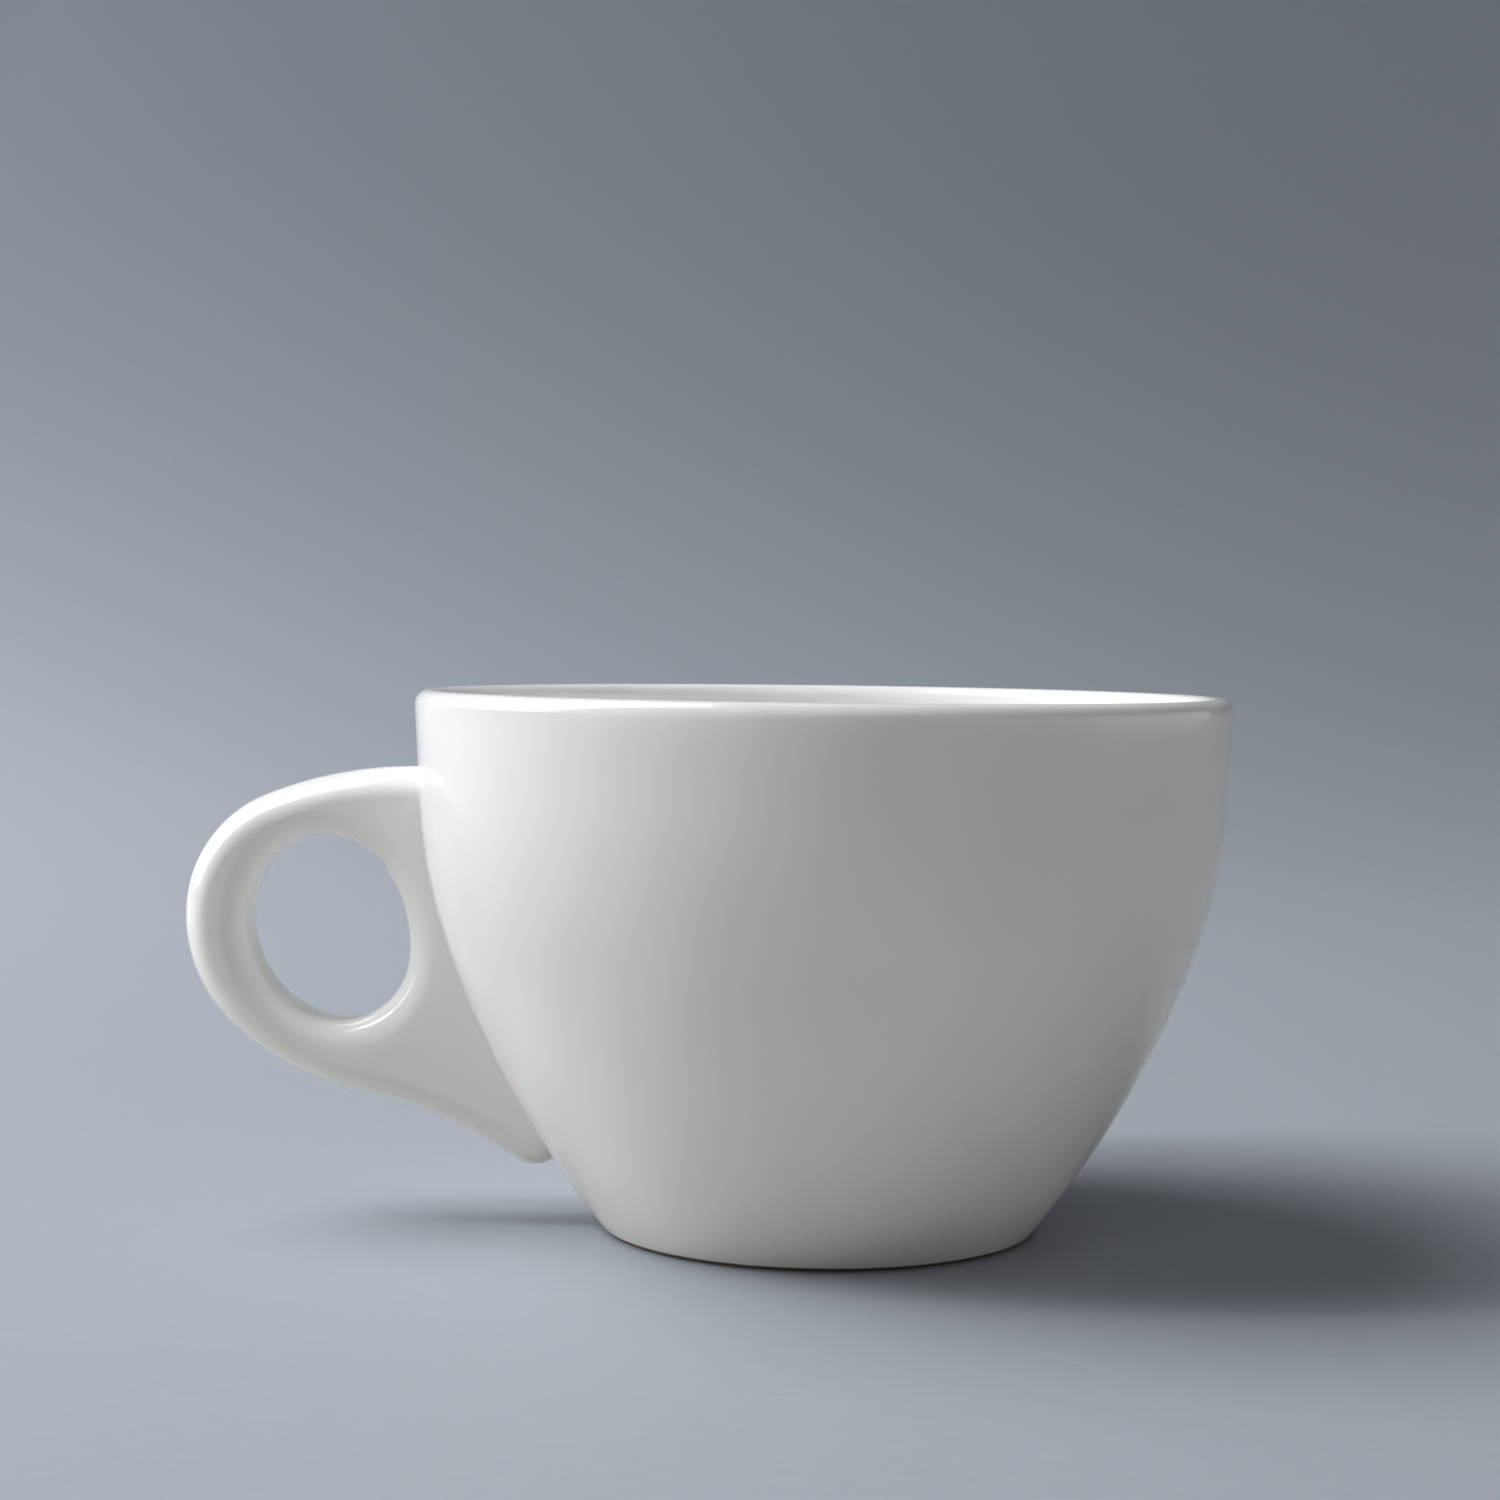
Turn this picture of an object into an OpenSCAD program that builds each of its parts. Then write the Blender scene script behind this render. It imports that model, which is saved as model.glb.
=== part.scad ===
// Cappuccino cup: a thick porcelain bowl with a closed ring handle luted to its side.
// The cup stands on the origin with its axis on +Z, and the handle points along -X.

/* [Bowl] */
// Diameter over the lip
rim_d = 92; // [89:0.5:95]
// Height from the table to the top of the lip
cup_h = 60.8; // [59:0.1:63]
// Diameter of the foot, where the wall meets the table
foot_d = 48; // [46:0.5:50]
// Thickness of the wall
wall_t = 3.2; // [2.8:0.1:3.3]
// Thickness of the rounded lip
lip_t = 3.5; // [3.4:0.1:3.8]
// Height of the inside floor above the table
floor_h = 6; // [5:0.1:7]
// Rounding between the inside floor and the wall
floor_r = 11; // [8:0.5:13]
// Lean of the wall from the vertical at the foot, in degrees
foot_lean = 38.8; // [37.5:0.1:40]
// Lean of the wall where the belly turns into the shoulder, in degrees
belly_lean = 19.5; // [18:0.1:21]
// Lean of the straight flare below the lip, in degrees
lip_lean = 3; // [2:0.1:4]
// Length of the straight flare as a share of the height
flare_share = 0.17; // [0.14:0.01:0.2]
// Width of the foot ring that touches the table
ring_w = 3.4; // [2.5:0.1:5]
// Depth of the recess inside the foot ring
recess_h = 1.8; // [1:0.1:2.4]
// Lean of the recess wall from the vertical, in degrees
recess_lean = 30; // [15:1:45]
// Bevel on the foot's outer edge
foot_bevel = 0.6; // [0.4:0.1:0.9]
// Rise of the bevel from the table, in degrees
bevel_lean = 25; // [20:1:30]

/* [Handle outline] */
// Distance from the cup's axis at which the outline begins, hidden in the wall
root_x = 40.8; // [39.8:0.1:41.8]
// Height at which the outline begins
root_z = 51.5; // [50.5:0.1:52.2]
// Rise of the outline where it begins, in degrees
root_lean = 7; // [6:0.1:8]
// Radius of the long arc over the top
crown_r = 45.2; // [44:0.1:46.5]
// Turn of the long arc over the top, in degrees
crown_turn = 29.3; // [28.5:0.1:30]
// Radius of the arc round the upper outside
bow_r = 14.6; // [14:0.1:15.2]
// Turn of the arc round the upper outside, in degrees
bow_turn = 60.4; // [59.6:0.1:61.2]
// Radius of the arc round the lower outside
palm_r = 17.1; // [16.5:0.1:17.7]
// Turn of the arc round the lower outside, in degrees
palm_turn = 56.1; // [55.3:0.1:56.9]
// Radius of the arc along the underside
keel_r = 31.8; // [31:0.1:32.6]
// Turn of the arc along the underside, in degrees
keel_turn = 29.6; // [28.8:0.1:30.4]
// Radius of the hollow arc that runs down to the tail
waist_r = 49.2; // [48:0.1:50.5]
// Turn of the hollow arc that runs down to the tail, in degrees
waist_turn = 22.3; // [21.5:0.1:23]
// Radius of the blunt tail
tail_r = 4.2; // [4:0.1:4.4]
// Turn of the blunt tail, which ends inside the wall, in degrees
tail_turn = 150; // [130:1:165]

/* [Handle section] */
// Thickness of the handle, from face to face
handle_t = 10.4; // [9.4:0.1:11.4]
// Rounding of the outer edge
edge_r = 3.4; // [3:0.1:3.6]
// Rounding of the edge round the finger hole
hole_edge_r = 2.4; // [1.8:0.1:2.5]

/* [Finger hole] */
// Distance of the upper end circle from the cup's axis
hole_x = 56.3; // [56:0.1:56.6]
// Height of the upper end circle's centre
hole_z = 35.6; // [35.3:0.1:35.9]
// Radius of the upper end circle
hole_top_r = 8.4; // [8:0.1:8.6]
// Radius of the lower end circle
hole_low_r = 8; // [7.7:0.1:8.2]
// Distance between the two end circles
hole_pitch = 5; // [4.7:0.1:5.3]
// Lean of the line through the end circles from the vertical, in degrees
hole_lean = 18.7; // [17:0.1:20]
// Radius of the side away from the bowl
hole_out_r = 11.3; // [11.1:0.1:11.8]
// Radius of the side next to the bowl
hole_in_r = 16.7; // [15.5:0.1:18]

/* [Luting slip] */
// Thickness of the bond between the handle's root and the wall
bond_t = 0.3; // [0.2:0.05:0.5]
// Width of the bead that shows round the root
bead_w = 1.4; // [1:0.1:1.8]
// Height of the bead on the wall
bead_h = 1.1; // [0.8:0.1:1.4]

/* [Hidden] */
$fn = 96;
// Flats along each arc of the handle's outline, along its root, and across each rounded edge
ARC_STEPS = [6, 10, 10, 8, 8, 8];
root_steps = 7;
edge_steps = 4;

rim_r = rim_d / 2;
foot_r = foot_d / 2;
lip_r = lip_t / 2;
wall_half = wall_t / 2;
flare = flare_share * cup_h;

// Upper end of the flare on the outer face, where the rounded lip begins
flare_top = [rim_r - lip_r + wall_half * cos(lip_lean), cup_h - lip_r - wall_half * sin(lip_lean)];
// Centre of the rounded lip
lip_c = [rim_r - lip_r, cup_h - lip_r];

// Radii of the two tangent arcs that join the foot to the flare
run = flare_top - [foot_r, 0] - flare * [sin(lip_lean), cos(lip_lean)];
belly_step = [cos(belly_lean) - cos(foot_lean), sin(foot_lean) - sin(belly_lean)];
shoulder_step = [cos(lip_lean) - cos(belly_lean), sin(belly_lean) - sin(lip_lean)];
steps_cross = cross(belly_step, shoulder_step);
belly_r = cross(run, shoulder_step) / steps_cross;
shoulder_r = cross(belly_step, run) / steps_cross;
belly_c = [foot_r - belly_r * cos(foot_lean), belly_r * sin(foot_lean)];
shoulder_c = belly_c + (belly_r - shoulder_r) * [cos(belly_lean), -sin(belly_lean)];

// Rounding at the edge of the inside floor, tangent to the floor and to the wall
corner_reach = belly_r - wall_t - floor_r;
corner_drop = belly_c.y - floor_h - floor_r;
corner_c = [belly_c.x + sqrt(corner_reach ^ 2 - corner_drop ^ 2), floor_h + floor_r];
corner_dir = (corner_c - belly_c) / corner_reach;

// Handle outline: radius and turn of each arc, a left turn positive
OUTLINE = [
    [crown_r, crown_turn],
    [bow_r, bow_turn],
    [palm_r, palm_turn],
    [keel_r, keel_turn],
    [waist_r, -waist_turn],
    [tail_r, tail_turn]
];
waist = 4;
tail = 5;
function heading(i) = i == 0 ? 180 - root_lean : heading(i - 1) + OUTLINE[i - 1][1];
function side(i) = sign(OUTLINE[i][1]);
function arm(i, a) = side(i) * OUTLINE[i][0] * [sin(a), -cos(a)];
function joint(i, grow) =
    (i == 0 ? [-root_x, root_z] : arc_c(i - 1) + arm(i - 1, heading(i)))
    + grow * [sin(heading(i)), -cos(heading(i))];
function arc_c(i) = joint(i, 0) - arm(i, heading(i));

// Finger hole: two end circles and two wider arcs that touch them from outside
hole_top_c = [-hole_x, hole_z];
hole_low_c = hole_top_c + hole_pitch * [sin(hole_lean), -cos(hole_lean)];
hole_out_c = apex(hole_out_r - hole_top_r, hole_out_r - hole_low_r, 1);
hole_in_c = apex(hole_in_r - hole_top_r, hole_in_r - hole_low_r, -1);
// Point at the given distances from the upper and the lower end circle's centre
function along(d_top, d_low) = (hole_pitch ^ 2 + d_top ^ 2 - d_low ^ 2) / (2 * hole_pitch);
function apex(d_top, d_low, turn) =
    let (s = along(d_top, d_low), h = turn * sqrt(d_top ^ 2 - s ^ 2))
    hole_top_c + s * [sin(hole_lean), -cos(hole_lean)] + h * [cos(hole_lean), sin(hole_lean)];
function aim(from, to) = atan2(to.y - from.y, to.x - from.x);
function turn_to(a, b) = (b - a + 720) % 360;

// Half section inside the bowl's outer face, the face moved outward by grow and raised by rise
module outer_section(grow, rise) {
    belly_z = belly_c.y - (belly_r + grow) * sin(belly_lean);
    shoulder_z = shoulder_c.y - (shoulder_r + grow) * sin(lip_lean);
    shoulder_x = shoulder_c.x + (shoulder_r + grow) * cos(lip_lean);
    top = flare_top + grow * [cos(lip_lean), -sin(lip_lean)] + rise * [sin(lip_lean), cos(lip_lean)];
    intersection() {
        translate(belly_c)
            circle(belly_r + grow);
        square([rim_d, belly_z]);
    }
    intersection() {
        translate(shoulder_c)
            circle(shoulder_r + grow);
        translate([0, belly_z])
            square([rim_d, shoulder_z - belly_z]);
    }
    polygon([[0, shoulder_z], [shoulder_x, shoulder_z], top, [0, top.y + top.x * tan(lip_lean)]]);
}

// Part of the corner between floor and wall that the inside rounding leaves solid
module floor_corner() {
    difference() {
        polygon([
            corner_c,
            corner_c - [0, 2 * floor_r],
            corner_c + [2 * floor_r, -2 * floor_r],
            corner_c + 2 * floor_r * corner_dir
        ]);
        translate(corner_c)
            circle(floor_r);
    }
}

module cavity_section() {
    difference() {
        outer_section(-wall_t, wall_t);
        square([rim_d, floor_h]);
        floor_corner();
    }
}

// Recess inside the foot ring, and the bevel outside it
module foot_cut() {
    mouth = foot_r - foot_bevel - ring_w;
    polygon([[0, 0], [mouth, 0], [mouth - recess_h * tan(recess_lean), recess_h], [0, recess_h]]);
    polygon([
        [foot_r - foot_bevel, 0],
        [foot_r + 2 * foot_bevel, 0],
        [foot_r + 2 * foot_bevel, 3 * foot_bevel * tan(bevel_lean)]
    ]);
}

// The children's section turned about a centre in the handle's plane
module sweep_about(centre, from, angle) {
    translate([centre.x, 0, centre.y])
        rotate([90, 0, 0])
            rotate([0, 0, from])
                rotate_extrude(angle = angle)
                    children();
}

function dir(a) = [cos(a), sin(a)];

// Piece of a disc between two angles and its chord
module bulge(centre, r, from, angle) {
    intersection() {
        translate(centre)
            circle(r);
        polygon(concat(
            [centre + r * dir(from)],
            [for (k = [0 : 2]) centre + 2 * r * dir(from + k * angle / 2)],
            [centre + r * dir(from + angle)]
        ));
    }
}

// Whole outline of the handle, running on into the bowl
module plate_outline(grow) {
    difference() {
        polygon(concat(
            [for (i = [0 : tail + 1]) joint(i, grow)],
            [[-foot_r, root_z]]
        ));
        translate(arc_c(waist))
            circle(waist_r - grow);
    }
    for (i = [0 : tail])
        if (i != waist)
            bulge(arc_c(i), OUTLINE[i][0] + grow, heading(i) - 90, OUTLINE[i][1]);
}

// What the rounding takes off the two corners of an edge; the solid lies on the side of inward
module corner_sections(r, round_r, thick, inward) {
    for (s = [-1, 1])
        translate([r + inward * round_r, s * (thick / 2 - round_r)])
            difference() {
                translate([-(1 + inward) * round_r, (s - 1) * round_r])
                    square(2 * round_r);
                circle(round_r);
            }
}

// What rounds one arc of the outline
module arc_rounding(i, grow) {
    hollow = i == waist;
    sweep_about(arc_c(i), hollow ? heading(tail) + 90 : heading(i) - 90, abs(OUTLINE[i][1]))
        corner_sections(
            OUTLINE[i][0] + (hollow ? -grow : grow),
            edge_r + grow,
            handle_t + 2 * grow,
            hollow ? 1 : -1
        );
}

// What rounds the whole outline
module outline_rounding(grow) {
    for (i = [0 : tail])
        arc_rounding(i, grow);
}

// A flat section of the handle at its full thickness
module slab(grow) {
    rotate([90, 0, 0])
        linear_extrude(handle_t + 2 * grow, center = true)
            children();
}

// Start angle and turn of each arc of the finger hole, from the outer side round by the bottom
hole_up = aim(hole_out_c, hole_top_c);
hole_down = aim(hole_out_c, hole_low_c);
hole_back_down = aim(hole_in_c, hole_low_c);
hole_back_up = aim(hole_in_c, hole_top_c);
HOLE = [
    [hole_out_c, hole_out_r, hole_up, turn_to(hole_up, hole_down)],
    [hole_low_c, hole_low_r, hole_down, turn_to(hole_down, hole_back_down)],
    [hole_in_c, hole_in_r, hole_back_down, turn_to(hole_back_down, hole_back_up)],
    [hole_top_c, hole_top_r, hole_back_up, turn_to(hole_back_up, hole_up)]
];

// Stations round the outline, each a point and its outward direction; the last ones lie inside the bowl
STATIONS = concat(
    [for (i = [0 : tail], k = [0 : ARC_STEPS[i] - 1])
        let (h = heading(i) + OUTLINE[i][1] * k / ARC_STEPS[i])
        [arc_c(i) + arm(i, h), [sin(h), -cos(h)]]],
    [[joint(tail + 1, 0), [sin(heading(tail + 1)), -cos(heading(tail + 1))]]],
    [for (k = [1 : root_steps])
        let (low = joint(tail + 1, 0).y)
        [[-foot_r, low + (root_z - low) * k / (root_steps + 1)], [1, 0]]]
);

// Point of the finger hole's edge in the direction of a station, with its outward direction
hole_c = (hole_top_c + hole_low_c) / 2;
function hole_turn(k) = aim(hole_c, HOLE[k % 4][0] + HOLE[k % 4][1] * dir(HOLE[k % 4][2]));
function hole_arc(a) = [
    for (k = [0 : 3])
        if (turn_to(hole_turn(k), a) < turn_to(hole_turn(k), hole_turn(k + 1))) HOLE[k]
][0];
function hole_edge(p) =
    let (
        u = dir(aim(hole_c, p)),
        arc = hole_arc(aim(hole_c, p)),
        w = arc[0] - hole_c,
        q = hole_c + (u * w + sqrt(arc[1] ^ 2 - w * w + (u * w) ^ 2)) * u
    )
    [q, (q - arc[0]) / arc[1]];

// Rounded corner of a section: how far it is set back from the edge, and its height over the middle plane
function corner(r) = [
    for (k = [0 : edge_steps])
        let (t = 90 * k / edge_steps)
        [r * (1 - cos(t)), handle_t / 2 - r * (1 - sin(t))]
];
function turned(list) = [for (k = [len(list) - 1 : -1 : 0]) list[k]];
function section(station) =
    let (edge = hole_edge(station[0]), outside = corner(edge_r), inside = corner(hole_edge_r))
    concat(
        [for (c = outside) let (p = station[0] - c.x * station[1]) [p.x, -c.y, p.y]],
        [for (c = turned(inside)) let (p = edge[0] + c.x * edge[1]) [p.x, -c.y, p.y]],
        [for (c = inside) let (p = edge[0] + c.x * edge[1]) [p.x, c.y, p.y]],
        [for (c = turned(outside)) let (p = station[0] - c.x * station[1]) [p.x, c.y, p.y]]
    );

// The handle's whole ring, running on into the bowl
module ring() {
    n = len(STATIONS);
    m = 4 * (edge_steps + 1);
    polyhedron(
        points = [for (s = STATIONS) each section(s)],
        faces = [
            for (i = [0 : n - 1], j = [0 : m - 1])
                let (a = i * m, b = (i + 1) % n * m, k = (j + 1) % m)
                each [[a + j, b + j, b + k], [a + j, b + k, a + k]]
        ],
        convexity = 6
    );
}

module bowl_block(grow) {
    rotate_extrude()
        outer_section(grow, 0);
}

module bowl() {
    color([0.93, 0.93, 0.92])
        rotate_extrude() {
            difference() {
                outer_section(0, 0);
                cavity_section();
                foot_cut();
            }
            translate(lip_c)
                circle(lip_r);
        }
}

module handle() {
    color([0.92, 0.92, 0.91])
        difference() {
            ring();
            bowl_block(bond_t);
        }
}

module handle_slip() {
    color([0.9, 0.9, 0.89])
        difference() {
            intersection() {
                difference() {
                    slab(bead_w)
                        plate_outline(bead_w);
                    outline_rounding(bead_w);
                }
                bowl_block(bead_h);
            }
            bowl_block(0);
            difference() {
                slab(0)
                    plate_outline(0);
                outline_rounding(0);
                bowl_block(bond_t);
            }
        }
}

bowl();
handle();
handle_slip();
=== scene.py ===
# %% [markdown]
# # A porcelain cappuccino cup
# The cup is three pieces of clay: a bowl, a ring handle cast by itself, and the slip that bonds the
# handle's root to the wall. The frame below is the measured model of the same cup, in metres, standing on
# the origin with its handle along -X. Each piece is modelled again here with smooth surfaces and takes
# the place of its plain solid.

# %% Load the frame
import math
from collections import namedtuple

import bpy
from mathutils import Matrix, Vector


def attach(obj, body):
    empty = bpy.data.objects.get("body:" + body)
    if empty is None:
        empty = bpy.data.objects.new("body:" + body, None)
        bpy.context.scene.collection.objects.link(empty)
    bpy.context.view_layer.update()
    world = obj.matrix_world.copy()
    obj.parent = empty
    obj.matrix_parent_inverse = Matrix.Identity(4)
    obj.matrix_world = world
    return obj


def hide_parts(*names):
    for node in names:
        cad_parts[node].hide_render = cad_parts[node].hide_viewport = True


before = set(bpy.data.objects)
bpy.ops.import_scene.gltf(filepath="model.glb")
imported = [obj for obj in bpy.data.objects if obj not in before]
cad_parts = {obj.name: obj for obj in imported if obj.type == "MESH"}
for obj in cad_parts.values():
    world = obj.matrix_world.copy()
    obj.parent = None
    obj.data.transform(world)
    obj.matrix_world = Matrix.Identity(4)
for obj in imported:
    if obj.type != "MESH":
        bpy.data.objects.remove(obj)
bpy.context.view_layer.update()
MM = 0.001

# %% [markdown]
# ## The camera
# The photograph is taken from just above the lip, about a third of a metre away. The camera is set from
# its place and its three turns rather than aimed at a target, because the picture is tilted a little and
# the cup stands low in it.

# %% Camera
CAMERA_PLACE = Vector((0, -314.8, 67.79)) * MM
CAMERA_YAW = math.radians(-1.503)
CAMERA_PITCH = math.radians(2.48)
CAMERA_ROLL = math.radians(0.675)
CAMERA_LENS = 66.48
CAMERA_SENSOR = 36
CAMERA_NEAREST = 10 * MM

scene = bpy.context.scene
camera_data = bpy.data.cameras.new("camera")
camera_data.lens = CAMERA_LENS
camera_data.sensor_width = CAMERA_SENSOR
camera_data.clip_start = CAMERA_NEAREST
camera = bpy.data.objects.new("camera", camera_data)
scene.collection.objects.link(camera)
forward = Vector((
    math.sin(CAMERA_YAW) * math.cos(CAMERA_PITCH),
    math.cos(CAMERA_YAW) * math.cos(CAMERA_PITCH),
    -math.sin(CAMERA_PITCH),
))
level_right = Vector((math.cos(CAMERA_YAW), -math.sin(CAMERA_YAW), 0))
level_up = level_right.cross(forward)
right = level_right * math.cos(CAMERA_ROLL) + level_up * math.sin(CAMERA_ROLL)
up = level_up * math.cos(CAMERA_ROLL) - level_right * math.sin(CAMERA_ROLL)
turn = Matrix((right, up, -forward)).transposed()
camera.matrix_world = Matrix.Translation(CAMERA_PLACE) @ turn.to_4x4()
scene.camera = camera
print("camera", camera.location[:], "lens", CAMERA_LENS)

# %% [markdown]
# ## A pen for outlines
# A potter's profile is a chain of arcs and short straights that run smoothly into each other. A single
# vertex can draw one: extruding it makes a straight, and spinning it makes an arc. The pen remembers
# where it is and which way it heads, so each stretch needs only its length, or its radius and its turn.
# Left turns are positive, as seen with X to the right and Z up.

# %% Pen
pen = {"x": 0.0, "z": 0.0, "heading": 0.0}


def pen_down(x, z, heading):
    """One new vertex in the mesh being edited, selected by itself."""
    bpy.ops.mesh.select_all(action="DESELECT")
    bpy.ops.mesh.primitive_plane_add(size=MM)
    bpy.ops.mesh.merge(type="CENTER")
    bpy.ops.transform.translate(value=(x, 0, z))
    pen.update(x=x, z=z, heading=math.radians(heading))


def straight_to(x, z):
    move = (x - pen["x"], 0, z - pen["z"])
    bpy.ops.mesh.extrude_region_move(TRANSFORM_OT_translate={"value": move})
    pen.update(x=x, z=z, heading=math.atan2(move[2], move[0]))


def straight(length):
    heading = pen["heading"]
    straight_to(pen["x"] + length * math.cos(heading), pen["z"] + length * math.sin(heading))


def arc(radius, degrees, steps):
    heading = pen["heading"]
    angle = math.radians(degrees)
    side = math.copysign(radius, angle)
    centre_x = pen["x"] - side * math.sin(heading)
    centre_z = pen["z"] + side * math.cos(heading)
    axis = (0, math.copysign(1, angle), 0)
    bpy.ops.mesh.spin(steps=steps, angle=abs(angle), center=(centre_x, 0, centre_z), axis=axis)
    heading += angle
    pen.update(
        x=centre_x + side * math.sin(heading),
        z=centre_z - side * math.cos(heading),
        heading=heading,
    )


# %% [markdown]
# A drawn half section becomes a pot when it is spun about Z, like clay on a wheel. The first and the last
# turn then lie on each other, and so do all the points on the axis, so close points are merged.

# %% Wheel
MERGE = 0.002 * MM


def new_piece(name):
    """An empty mesh object of that name, in edit mode."""
    bpy.ops.object.select_all(action="DESELECT")
    bpy.ops.mesh.primitive_plane_add(size=MM)
    piece = bpy.context.object
    piece.name = name
    piece.data.name = name
    bpy.ops.object.mode_set(mode="EDIT")
    bpy.ops.mesh.delete(type="VERT")
    return piece


def turn_on_wheel(steps):
    """Spins the drawn half section about Z into a closed skin, and leaves edit mode."""
    bpy.ops.mesh.select_all(action="SELECT")
    bpy.ops.mesh.spin(steps=steps, angle=math.tau, center=(0, 0, 0), axis=(0, 0, 1))
    bpy.ops.mesh.select_all(action="SELECT")
    bpy.ops.mesh.remove_doubles(threshold=MERGE)
    bpy.ops.mesh.normals_make_consistent(inside=False)
    bpy.ops.object.mode_set(mode="OBJECT")


def count(piece):
    sizes = [round(size / MM, 1) for size in piece.dimensions]
    print(piece.name, len(piece.data.polygons), "faces,", sizes, "mm")


# %% [markdown]
# ## The bowl
# A bowl like this is jiggered: soft clay turns on a wheel under a template, so it is the same all round.
# A stack of circles could be bridged, but spinning one half section about Z gives the same shape with
# the template's own arcs. Two arcs carry the wall from the foot to a nearly upright flare, and their
# radii follow from the cup's width and height.

# %% The wall's arcs
LIP_RADIUS = 46 * MM
CUP_HEIGHT = 60.8 * MM
FOOT_RADIUS = 24.4 * MM
WALL = 3.2 * MM
FLARE = 10.3 * MM
FOOT_LEAN = 38.8
BELLY_LEAN = 19.5
LIP_LEAN = 3.0


def along_wall(lean):
    """Direction up the wall at that lean from the vertical, as (outward, upward)."""
    return Vector((math.sin(math.radians(lean)), math.cos(math.radians(lean))))


def off_face(lean):
    """Direction straight out of the wall at that lean, as (outward, upward)."""
    return Vector((math.cos(math.radians(lean)), -math.sin(math.radians(lean))))


lip_centre = Vector((LIP_RADIUS - WALL / 2, CUP_HEIGHT - WALL / 2))
flare_top = lip_centre + WALL / 2 * off_face(LIP_LEAN)
run = flare_top - FLARE * along_wall(LIP_LEAN) - Vector((FOOT_RADIUS, 0))
belly_chord = off_face(BELLY_LEAN) - off_face(FOOT_LEAN)
shoulder_chord = off_face(LIP_LEAN) - off_face(BELLY_LEAN)
both = belly_chord.cross(shoulder_chord)
BELLY_R = run.cross(shoulder_chord) / both
SHOULDER_R = belly_chord.cross(run) / both
belly_centre = Vector((FOOT_RADIUS, 0)) - BELLY_R * off_face(FOOT_LEAN)
shoulder_centre = belly_centre + (BELLY_R - SHOULDER_R) * off_face(BELLY_LEAN)
print("belly radius", round(BELLY_R / MM, 1), "shoulder radius", round(SHOULDER_R / MM, 1))

# %% [markdown]
# The section starts under the foot, at the middle of the shallow recess, and ends at the middle of the
# inside floor. The foot ring is ground flat where it stands, and its edges are only just broken, so the
# wall meets the table almost sharply.

# %% Half section of the bowl
RECESS = 1.8 * MM
RECESS_EDGE_R = 0.8 * MM
RECESS_LEAN = 60
RING_EDGE_R = 0.25 * MM
RING_WIDTH = 3.2 * MM
EDGE_STEPS = 6
BELLY_STEPS = 24
SHOULDER_STEPS = 14
LIP_STEPS = 16

foot_edge_turn = 90 - FOOT_LEAN
foot_edge_back = RING_EDGE_R * math.tan(math.radians(foot_edge_turn / 2))
ring_outer = FOOT_RADIUS - foot_edge_back
ring_inner = ring_outer - RING_WIDTH
slope = math.radians(RECESS_LEAN)
edge_backs = (RECESS_EDGE_R + RING_EDGE_R) * math.tan(slope / 2)
recess_outer = ring_inner - edge_backs - RECESS / math.tan(slope)

bowl = new_piece("bowl_porcelain")
pen_down(0, RECESS, 0)
straight_to(recess_outer, RECESS)
arc(RECESS_EDGE_R, -RECESS_LEAN, EDGE_STEPS)
straight(RECESS / math.sin(slope) - edge_backs)
arc(RING_EDGE_R, RECESS_LEAN, EDGE_STEPS)
straight_to(ring_outer, 0)
arc(RING_EDGE_R, foot_edge_turn, EDGE_STEPS)
belly_start = math.degrees(foot_edge_back / BELLY_R)
arc(BELLY_R, FOOT_LEAN - BELLY_LEAN - belly_start, BELLY_STEPS)
arc(SHOULDER_R, BELLY_LEAN - LIP_LEAN, SHOULDER_STEPS)
straight(FLARE / 2)
straight(FLARE / 2)
arc(WALL / 2, 180, LIP_STEPS)
straight(FLARE / 2)
straight(FLARE / 2)
arc(SHOULDER_R - WALL, LIP_LEAN - BELLY_LEAN, SHOULDER_STEPS)
print("foot ring from", round(ring_inner / MM, 1), "to", round(ring_outer / MM, 1), "mm")

# %% [markdown]
# Inside, the wall runs down beside the outer one until a wide rounding takes it into the floor. The
# rounding touches both, so its centre lies at known distances from the floor and from the belly's centre.

# %% Inside floor, and the turn of the wheel
FLOOR = 6 * MM
FLOOR_R = 11 * MM
INNER_BELLY_STEPS = 18
FLOOR_STEPS = 14
BOWL_STEPS = 240

rounding_reach = BELLY_R - WALL - FLOOR_R
rounding_drop = belly_centre.y - FLOOR - FLOOR_R
rounding_lean = math.degrees(math.asin(rounding_drop / rounding_reach))
arc(BELLY_R - WALL, BELLY_LEAN - rounding_lean, INNER_BELLY_STEPS)
arc(FLOOR_R, rounding_lean - 90, FLOOR_STEPS)
straight_to(0, FLOOR)
turn_on_wheel(BOWL_STEPS)
bpy.ops.object.shade_smooth()
count(bowl)

# %% [markdown]
# ## The handle
# The handle is slip cast in a two-part mould: a ring with soft edges, a broad root and a tail that runs
# down the wall. It could be cut from a plate and bevelled, but the bevels of a wide outline and a small
# hole run into each other at the tail. A torus already has the right mesh, a closed tube bent into a
# closed ring, so one is added and each of its sections is set between the outline and the hole. The
# outline is listed as arcs: radius in millimetres, turn in degrees, and steps.

# %% The handle's outline
Station = namedtuple("Station", "point outward")
HANDLE_START = Vector((-40.8, 51.5)) * MM
HANDLE_HEADING = 173.0
HANDLE_ARCS = (
    (45.2, 29.3, 30),
    (14.6, 60.4, 28),
    (17.1, 56.1, 28),
    (31.8, 29.6, 20),
    (49.2, -22.3, 20),
    (4.2, 150.0, 20),
)
ROOT_STEPS = 22


def heading_out(degrees):
    """The direction to the right of a heading, which is outward on a loop drawn with left turns."""
    return Vector((math.sin(math.radians(degrees)), -math.cos(math.radians(degrees))))


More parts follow.
